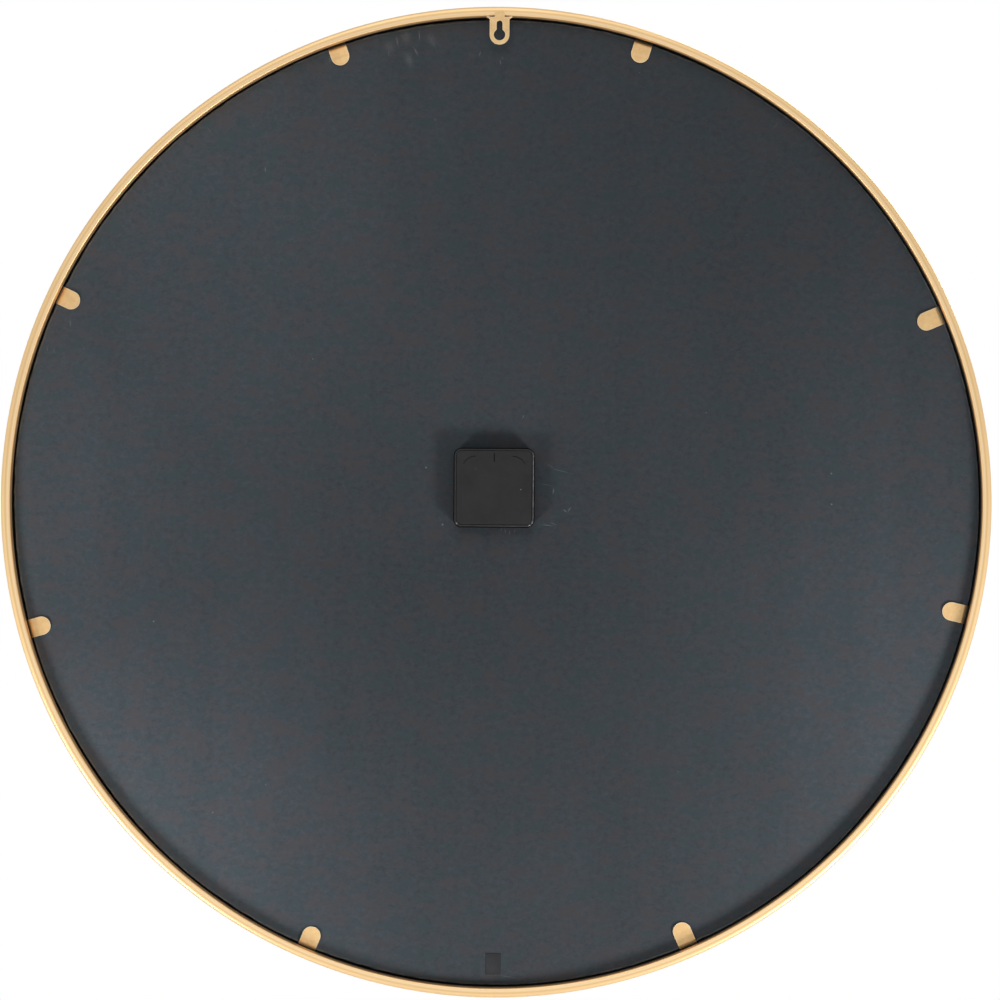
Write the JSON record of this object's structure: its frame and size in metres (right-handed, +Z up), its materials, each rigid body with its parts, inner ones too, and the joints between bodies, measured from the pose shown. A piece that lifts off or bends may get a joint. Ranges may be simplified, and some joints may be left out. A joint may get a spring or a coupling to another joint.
{
  "type": "mirror wall clock",
  "caption": "Round wall clock with a mirror dial in a slim gold metal ring, held by bent tabs over a charcoal back board, with a keyhole hanger and a quartz movement behind the glass.",
  "frame": {"origin": "centre of the keyhole's round part, on the rear face of the hanger plate, which is the wall plane", "axes": "+X to the right as seen from the front, +Y backwards into the wall, +Z up; the dial faces -Y and its axis is 330 mm below the origin"},
  "size_m": [0.6999, 0.0337, 0.7],
  "materials": {
    "gold_paint": "satin champagne gold",
    "gold_tab": "satin champagne gold",
    "clear_glass": "clear, polished",
    "mirror_silver": "silvered in front, grey paint behind",
    "charcoal_board": "satin charcoal coating",
    "black_tape": "matt",
    "gold_hand": "satin gold",
    "bare_brass": "turned",
    "black_rubber": "matt",
    "black_plastic": "matt",
    "cover_plastic": "fine-grained matt",
    "grey_plastic": "matt",
    "white_plastic": "moulded",
    "bare_steel": "bare",
    "grey_magnet": "sintered",
    "copper_wire": "enamelled wire",
    "green_circuit": "lacquered",
    "battery_wrap": "plain foil wrap"
  },
  "bodies": {
    "frame": {"ring_tube": "gold_paint", "front_lip": "gold_paint", "retaining_tabs": "gold_tab", "keyhole_hanger": "gold_tab", "mirror_glass": "clear_glass", "mirror_coat": "mirror_silver", "backing_board": "charcoal_board", "tape_patch": "black_tape", "hour_markers": "gold_hand", "dial_nut": "bare_brass", "dial_washer": "bare_brass", "rubber_gasket": "black_rubber", "movement_case": "black_plastic", "threaded_bush": "bare_brass", "train_bridge": "grey_plastic", "bridge_screws": "bare_steel", "stator_plate": "bare_steel", "coil_core": "bare_steel", "coil_bobbin": "white_plastic", "coil_winding": "copper_wire", "circuit_board": "green_circuit", "control_chip": "black_plastic", "quartz_crystal": "bare_steel", "contact_positive": "bare_steel", "contact_negative": "bare_steel", "battery_cell": "battery_wrap"},
    "minute": {"minute_hand": "gold_hand", "minute_hand_bush": "bare_brass", "hand_cap_nut": "bare_brass", "minute_tube": "bare_brass", "clutch_washer": "bare_steel"},
    "hour": {"hour_hand": "gold_hand", "hour_hand_bush": "bare_brass", "hour_wheel": "white_plastic"},
    "motion": {"motion_wheel": "white_plastic"},
    "knob": {"setting_knob": "white_plastic"},
    "rotor": {"rotor_pinion": "white_plastic", "rotor_magnet": "grey_magnet"},
    "step": {"step_wheel": "white_plastic"},
    "seconds": {"seconds_wheel": "white_plastic", "seconds_arbor": "bare_steel"},
    "third": {"third_wheel": "white_plastic"},
    "centre": {"centre_wheel": "white_plastic"},
    "cover": {"back_cover": "cover_plastic"}
  },
  "joints": [
    {"name": "minute_turn", "type": "hinge", "parent": "frame", "child": "minute", "pos_m": [0, -0.03, -0.33], "axis": [0, 1, 0], "continuous": true},
    {"name": "hour_turn", "type": "hinge", "parent": "frame", "child": "hour", "pos_m": [0, -0.027, -0.33], "axis": [0, 1, 0], "continuous": true},
    {"name": "motion_turn", "type": "hinge", "parent": "frame", "child": "motion", "pos_m": [-0.0094, -0.0144, -0.33342], "axis": [0, 1, 0], "continuous": true},
    {"name": "knob_turn", "type": "hinge", "parent": "frame", "child": "knob", "pos_m": [-0.01997, -0.0144, -0.32957], "axis": [0, 1, 0], "continuous": true},
    {"name": "rotor_turn", "type": "hinge", "parent": "frame", "child": "rotor", "pos_m": [0.01427, -0.0064, -0.34033], "axis": [0, 1, 0], "continuous": true},
    {"name": "step_turn", "type": "hinge", "parent": "frame", "child": "step", "pos_m": [0.01052, -0.0083, -0.33383], "axis": [0, 1, 0], "continuous": true},
    {"name": "seconds_turn", "type": "hinge", "parent": "frame", "child": "seconds", "pos_m": [0, -0.0096, -0.33], "axis": [0, 1, 0], "continuous": true},
    {"name": "third_turn", "type": "hinge", "parent": "frame", "child": "third", "pos_m": [0.00694, -0.011, -0.32173], "axis": [0, 1, 0], "continuous": true},
    {"name": "centre_turn", "type": "hinge", "parent": "frame", "child": "centre", "pos_m": [0, -0.0125, -0.33], "axis": [0, 1, 0], "continuous": true},
    {"name": "cover_pull", "type": "slide", "parent": "frame", "child": "cover", "axis": [0, 1, 0], "range_m": [0, 0.03]}
  ],
  "couplings": [
    {"joint": "hour_turn", "follows": "minute_turn", "ratio": 0.083333},
    {"joint": "motion_turn", "follows": "minute_turn", "ratio": -0.33333},
    {"joint": "knob_turn", "follows": "minute_turn", "ratio": 0.66667},
    {"joint": "step_turn", "follows": "rotor_turn", "ratio": -0.2},
    {"joint": "seconds_turn", "follows": "rotor_turn", "ratio": 0.033333},
    {"joint": "third_turn", "follows": "rotor_turn", "ratio": -0.0044444},
    {"joint": "centre_turn", "follows": "rotor_turn", "ratio": 0.00055556}
  ]
}
